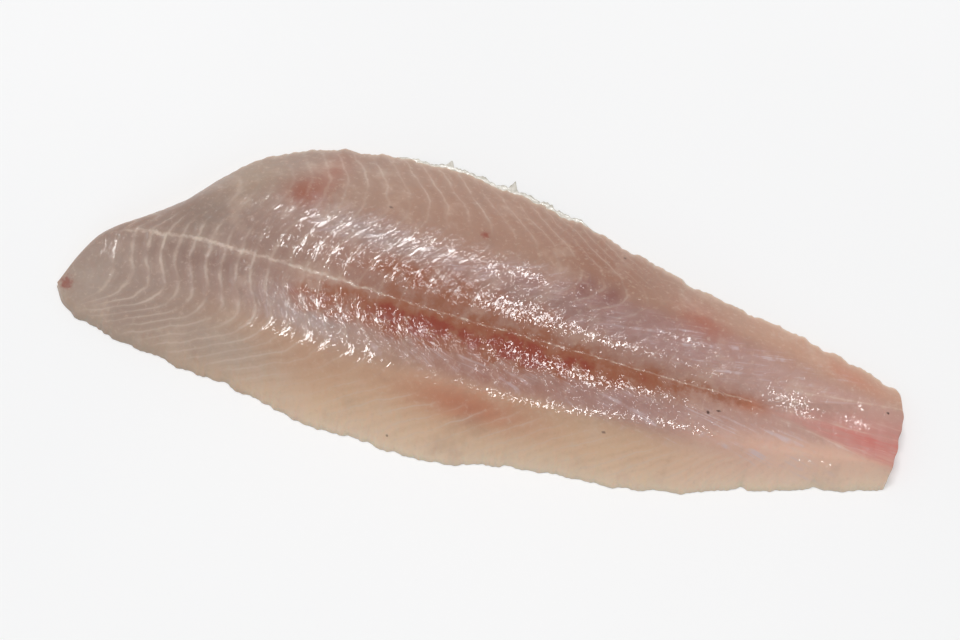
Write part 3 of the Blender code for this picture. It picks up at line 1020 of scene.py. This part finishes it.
def add_silver_and_sheen(g, base):
    """Silvery tissue: a faint pale veil that is partly painted sheen, and fine light strands in
    it.
    """
    along = g.share("along")
    slanting = g.noise(g.stretched(g.share("strand"), 520.0, g.place_y(), 60.0), 1.0, 2.0, 0.6)
    off_seam = g.math("ABSOLUTE", g.share("off_seam"))
    spread = g.math("SUBTRACT", off_seam, g.product(along, STRANDS_SPREAD))
    lengthwise = g.noise(g.stretched(spread, 0.85, along, 45.0), 1.0, 2.0, 0.6, 0.3)
    strands = g.between(g.mix(g.between(along, 0.150, 0.190), slanting, lengthwise), 0.50, 0.66)
    patchy = g.between(g.noise(g.place(), 160.0, 3.0, 0.6), 0.42, 0.62, 0.10, 1.0)
    tissue_and_sheen = g.product(g.share("silver_and_sheen"), patchy)
    # Painted sheen, in part: a faint pale veil over the silvery tissue.
    base = g.mix(g.product(tissue_and_sheen, 0.10), base, SILVER_AND_SHEEN)
    clearer = g.between(along, 0.170, 0.200, 0.36, 0.66)
    return g.mix(g.product(tissue_and_sheen, strands, clearer), base, SILVER_AND_SHEEN)


def add_muscle(g, base):
    """Red and brown muscle in blotches, and the pink wedge with its lengthwise fibres."""
    blotch = g.between(g.noise(g.place(), 170.0, 4.0, 0.65), 0.32, 0.68, 0.45, 1.45)
    red = g.product(g.share("red"), blotch)
    base = g.mix(g.between(red, 0.02, 0.55), base, MUSCLE_BROWN)
    base = g.mix(g.between(red, 0.45, 1.30), base, MUSCLE_RED)
    along, pink = g.share("along"), g.share("pink")
    fibres = g.noise(g.stretched(along, 70.0, g.place_y(), 650.0), 1.0, 3.0, 0.6)
    base = g.mix(g.product(pink, g.between(fibres, 0.25, 0.65, 0.50, 1.0)), base, TAIL_PINK)
    streak = line_profile(g, g.math("ADD", g.share("off_seam"), 2.2), 5.0)
    streak = g.product(streak, pink, g.between(along, 0.236, 0.262))
    base = g.mix(g.product(streak, g.between(fibres, 0.38, 0.62, 0.15, 0.65)), base, TAIL_RED)
    base = g.mix(g.product(pink, g.between(fibres, 0.54, 0.70, 0.0, 0.45)), base, PALE_FLECK)
    crease = line_profile(g, g.math("ADD", g.share("crease"), g.wobble(1.2, 300.0)), 0.5, 0.25)
    crease = g.product(crease, g.between(fibres, 0.35, 0.60, 0.15, 1.0), 0.50)
    return g.mix(crease, base, PALE_FLECK)


def mottled(g, base):
    """Cloudy, translucent flesh: large soft mottles, small ones and a fine fleck."""
    large = g.noise(g.place(), 75.0, 4.0, 0.6)
    base = g.mix(g.between(large, 0.52, 0.72, 0.0, 0.18), base, BAND_SHADE)
    base = g.mix(g.between(large, 0.48, 0.30, 0.0, 0.24), base, PALE_FLECK)
    fine = g.noise(g.place(), 650.0, 3.0, 0.65)
    base = g.mix(g.between(fine, 0.52, 0.75, 0.0, 0.28), base, PALE_FLECK)
    return g.mix(g.between(fine, 0.48, 0.28, 0.0, 0.08), base, BAND_SHADE)


def add_specks(g, base):
    """Small dark specks and spots of blood, each with a ragged outline."""
    ragged = g.wobble(1.6, 900.0)
    seen = g.node("ShaderNodeAttribute", {}, attribute_name="seen").outputs["Vector"]
    for (x, y), half_length, half_thick, tint, strength in SPECKS:
        apart = g.vector_math("SUBTRACT", {0: seen, 1: (x, y, 0.0)}).outputs[0]
        size = (1 / half_length, 1 / half_thick, 0.0)
        scaled = g.vector_math("MULTIPLY", {0: apart, 1: size}).outputs[0]
        radius = g.vector_math("LENGTH", {0: scaled}).outputs["Value"]
        inside = g.math("ADD", radius, ragged)
        base = g.mix(g.between(inside, 0.3, 1.4, strength, 0.0), base, tint)
    return base


def wet_bump(g):
    """Normals of the wrinkled wet film: strokes along the bands, or specks."""
    specks = g.noise(g.place(), SPECK_WRINKLES, 1.5, 0.5, 0.8)
    banded = g.stretched(g.share("phase"), 3.8, g.place_y(), 300.0)
    strokes = g.noise(banded, 1.0, 1.6, 0.55, 0.7)
    film = g.mix(g.product(g.share("stroke"), 0.80), specks, strokes)
    fine = g.noise(g.place(), TAIL_WRINKLES, 1.0, 0.5, 0.5)
    film = g.mix(g.between(g.share("along"), 0.222, 0.240, 0.0, 0.75), film, fine)
    height = g.product(g.math("SUBTRACT", film, 0.5), g.share("ripple"))
    return g.bump(height, WRINKLE_HEIGHT)


def level_pools(g):
    """Where small pools lie level: strokes along the bands near the head, and specks beyond."""
    place = g.node("ShaderNodeSeparateXYZ", {0: g.place()})
    x, y = place.outputs[0], place.outputs[1]
    specks = g.noise(g.stretched(x, 1200.0, y, 820.0), 1.0, 3.0, 0.65, 0.7)
    grains = g.noise(g.place(), TAIL_POOLS, 2.0, 0.7, 0.5)
    specks = g.mix(g.between(g.share("along"), 0.212, 0.228, 0.0, 0.8), specks, grains)
    strokes = g.noise(g.stretched(g.share("phase"), 10.0, y, 420.0), 1.0, 3.0, 0.62, 0.6)
    turn = g.product(g.math("SUBTRACT", g.share("phase"), POOL_PHASE), 2 * math.pi)
    in_step = g.product(g.math("COSINE", turn), POOLS_IN_STEP)
    shape = g.mix(g.share("stroke"), specks, g.math("ADD", strokes, in_step))
    depth = g.math("ADD", shape, g.product(g.share("pools"), POOL_SPOT_DEPTH))
    return g.between(depth, POOL_SHORE, POOL_LEVEL)


def add_wet_film(g):
    """The coat of water: wrinkled, and level and thick where there is a pool."""
    pools = level_pools(g)
    normal = g.mix(pools, wet_bump(g), (0.0, 0.0, 1.0, 1.0))
    unit = g.vector_math("NORMALIZE", {0: normal}).outputs[0]
    g.feed(g.shader.inputs["Coat Normal"], unit)
    g.feed(g.shader.inputs["Coat Weight"], g.math("MAXIMUM", pools, g.share("wetness")))


def flesh_material():
    """Wet raw fish: light goes a little way in, and a thin film of water glints on top."""
    material = bpy.data.materials.new("wet_fish_flesh")
    g = Graph(material)
    base = g.node("ShaderNodeAttribute", {}, attribute_name="tint").outputs["Color"]
    base = mottled(g, base)
    base = add_silver_and_sheen(g, add_muscle(g, base))
    base = add_specks(g, add_seam(g, add_septa(g, base)))
    g.feed(g.shader.inputs["Base Color"], base)
    add_wet_film(g)
    g.shader.inputs["Roughness"].default_value = 0.50
    g.shader.inputs["Specular IOR Level"].default_value = 0.12
    g.shader.inputs["Subsurface Weight"].default_value = 0.35
    g.shader.inputs["Subsurface Radius"].default_value = (1.0, 0.45, 0.30)
    g.shader.inputs["Subsurface Scale"].default_value = 0.0018
    g.shader.inputs["Coat Roughness"].default_value = 0.04
    g.shader.inputs["Coat IOR"].default_value = 1.40
    return material


def film_material():
    """Loose, whitish, see-through tissue."""
    material = bpy.data.materials.new("edge_tissue")
    g = Graph(material)
    cloudy = g.between(g.noise(g.place(), 900.0, 3.0), 0.3, 0.7)
    g.feed(g.shader.inputs["Base Color"], g.mix(cloudy, *FILM_TINTS))
    g.shader.inputs["Roughness"].default_value = 0.35
    g.shader.inputs["Alpha"].default_value = 0.85
    g.shader.inputs["Coat Weight"].default_value = 0.3
    return material


def pale_material(name, tint):
    """A plain matt finish with the faintest unevenness."""
    material = bpy.data.materials.new(name)
    g = Graph(material)
    cloudy = g.between(g.noise(g.place(), 3.0, 2.0), 0.3, 0.7)
    g.feed(g.shader.inputs["Base Color"], g.mix(cloudy, tint, colour(250, 250, 250)))
    g.shader.inputs["Roughness"].default_value = 0.9
    return material


def view_direction(azimuth, elevation):
    """From the aim towards the viewer: azimuth 0 is in front, at -Y, and 90 is at +X."""
    turn, rise = math.radians(azimuth), math.radians(elevation)
    return Vector(
        (math.sin(turn) * math.cos(rise), -math.cos(turn) * math.cos(rise), math.sin(rise))
    )


def add_camera(aim):
    """The photograph's view."""
    data = bpy.data.cameras.new("camera")
    data.lens = CAMERA_LENS
    data.clip_start = 0.01
    camera = bpy.data.objects.new("camera", data)
    direction = view_direction(CAMERA_AZIMUTH, CAMERA_ELEVATION)
    camera.location = aim + direction * CAMERA_DISTANCE
    camera.rotation_euler = direction.to_track_quat("Z", "Y").to_euler()
    bpy.context.scene.collection.objects.link(camera)
    bpy.context.scene.camera = camera


def add_light(name, direction, distance, size, radiance, tint=(1.0, 1.0, 1.0)):
    """An oblong light of this radiance that faces the fillet, with its long side along it."""
    data = bpy.data.lights.new(name, "AREA")
    data.shape = "RECTANGLE"
    data.size, data.size_y = size
    data.energy = radiance * math.pi * size[0] * size[1]
    data.color = tint
    across = direction.cross(Vector((1, 0, 0))).normalized()
    axes = Matrix((across.cross(direction), across, direction)).transposed()
    light = bpy.data.objects.new(name, data)
    light.location = direction * distance
    light.rotation_euler = axes.to_euler()
    bpy.context.scene.collection.objects.link(light)


def add_floor():
    """A large plain floor under the fillet."""
    bm = bmesh.new()
    bmesh.ops.create_grid(bm, x_segments=1, y_segments=1, size=3.0)
    mesh = bpy.data.meshes.new("floor")
    bm.to_mesh(mesh)
    bm.free()
    mesh.materials.append(pale_material("floor_paper", colour(247, 247, 247)))
    floor = bpy.data.objects.new("floor", mesh)
    floor.location.z = -0.00005
    bpy.context.scene.collection.objects.link(floor)


def add_world(radiance):
    """Even white light from all round."""
    world = bpy.data.worlds.new("studio")
    world.use_nodes = True
    background = world.node_tree.nodes["Background"]
    background.inputs["Color"].default_value = (1.0, 1.0, 1.0, 1.0)
    background.inputs["Strength"].default_value = radiance
    bpy.context.scene.world = world


def light_studio():
    """A long lamp where level water mirrors it, a dim halo, a fill in front and even light."""
    mirror = view_direction(CAMERA_AZIMUTH + 180, CAMERA_ELEVATION)
    add_light("lamp", mirror, *LAMP)
    add_light("halo", mirror, *HALO, tint=(0.90, 0.94, 1.0))
    add_light("fill", view_direction(CAMERA_AZIMUTH, FILL_ELEVATION), *FILL)
    add_world(EVEN_LIGHT)


bpy.context.scene.view_settings.view_transform = "Standard"
shift = frame_shift()
aim = Vector((CAMERA_AIM[0] + shift[0], CAMERA_AIM[1] + shift[1], 0.0))
add_camera(aim)
light_studio()
add_floor()

fillet = make_fillet(shift)
fillet.data.materials.append(flesh_material())
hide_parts("fillet")
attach(fillet, "root")

film = make_film(shift)
film.data.materials.append(film_material())
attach(film, "root")
